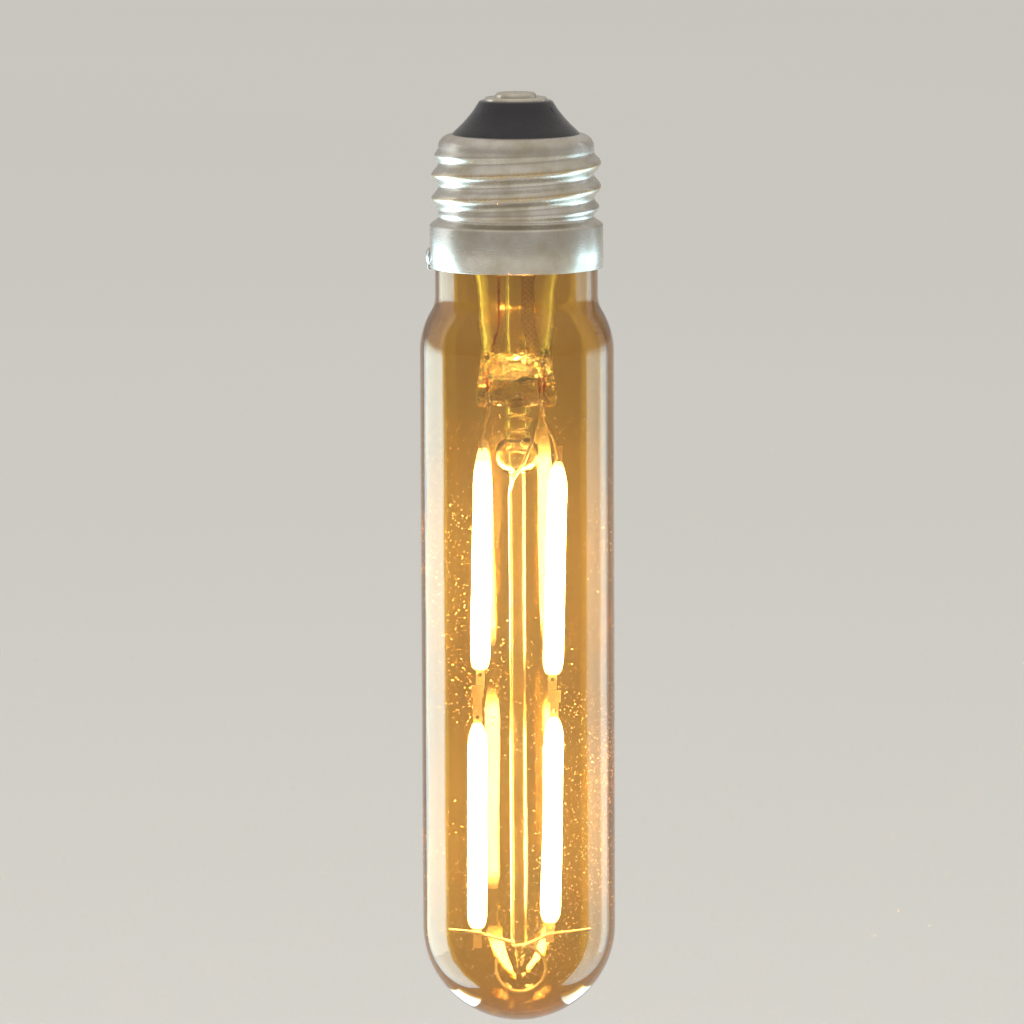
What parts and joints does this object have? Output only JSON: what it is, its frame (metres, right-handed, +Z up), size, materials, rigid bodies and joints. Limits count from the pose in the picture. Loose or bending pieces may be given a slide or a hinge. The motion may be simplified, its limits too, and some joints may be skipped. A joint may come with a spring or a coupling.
{
  "type": "tubular led filament lamp",
  "caption": "Long tubular glass lamp with a round end, LED filaments on a glass stem and an E27 screw cap with its driver inside.",
  "frame": {"origin": "middle of the centre contact's top face", "axes": "+Z up along the lamp's axis, from the dome to the cap, so the lamp hangs below the origin; +X from the left filaments to the right ones, along the flat press of the stem; -Y is the front"},
  "size_m": [0.03, 0.03, 0.145],
  "materials": {
    "bulb_glass": "clear amber-tinted blown glass",
    "stem_glass": "clear drawn glass, flame worked",
    "post_glass": "clear drawn glass rod and tube",
    "copper": "bare drawn copper",
    "sleeve": "yellowish woven insulating sleeve",
    "seal_copper": "copper-clad wire with a red oxide skin",
    "nickel_wire": "bare nickel wire",
    "strip_ceramic": "white ceramic",
    "led_chip": "polished chips",
    "phosphor": "silicone filled with phosphor, lit",
    "tab_metal": "stamped nickel-plated strip",
    "cap_nickel": "rolled brass sheet, nickel plated",
    "black_glass": "pressed black glass",
    "contact_metal": "nickel-plated brass, pressed",
    "cement": "baked basing cement",
    "tinned_wire": "tinned copper wire",
    "solder": "bright set solder",
    "board": "green lacquered glass-fibre board",
    "component_black": "moulded black resin",
    "capacitor_can": "shrink-sleeved aluminium can",
    "resistor_body": "painted ceramic body"
  },
  "bodies": {
    "root": {"glass_envelope": "bulb_glass", "stem_flare": "stem_glass", "exhaust_tube": "stem_glass", "post_tube": "post_glass", "post_ball": "post_glass", "post_rod": "post_glass", "outer_lead_left": "copper", "outer_lead_right": "copper", "outer_lead_return": "copper", "lead_sleeve": "sleeve", "seal_wire_left": "seal_copper", "seal_wire_right": "seal_copper", "seal_wire_return": "seal_copper", "inner_lead_left": "nickel_wire", "inner_lead_right": "nickel_wire", "return_wire": "nickel_wire", "support_wire_left": "nickel_wire", "support_wire_right": "nickel_wire", "wire_loop": "nickel_wire", "cap_shell": "cap_nickel", "cap_insulator": "black_glass", "contact_plate": "contact_metal", "contact_rivet": "contact_metal", "cap_cement": "cement", "side_wire": "tinned_wire", "side_solder": "solder", "centre_wire": "copper", "driver_board": "board", "rectifier": "component_black", "driver_chip": "component_black", "capacitor": "capacitor_can", "fuse_resistor": "resistor_body", "chip_resistors": "component_black", "board_solder": "solder", "strip_upper_left": "strip_ceramic", "chips_upper_left": "led_chip", "phosphor_upper_left": "phosphor", "tabs_upper_left": "tab_metal", "strip_upper_right": "strip_ceramic", "chips_upper_right": "led_chip", "phosphor_upper_right": "phosphor", "tabs_upper_right": "tab_metal", "strip_lower_left": "strip_ceramic", "chips_lower_left": "led_chip", "phosphor_lower_left": "phosphor", "tabs_lower_left": "tab_metal", "strip_lower_right": "strip_ceramic", "chips_lower_right": "led_chip", "phosphor_lower_right": "phosphor", "tabs_lower_right": "tab_metal"}
  },
  "joints": []
}
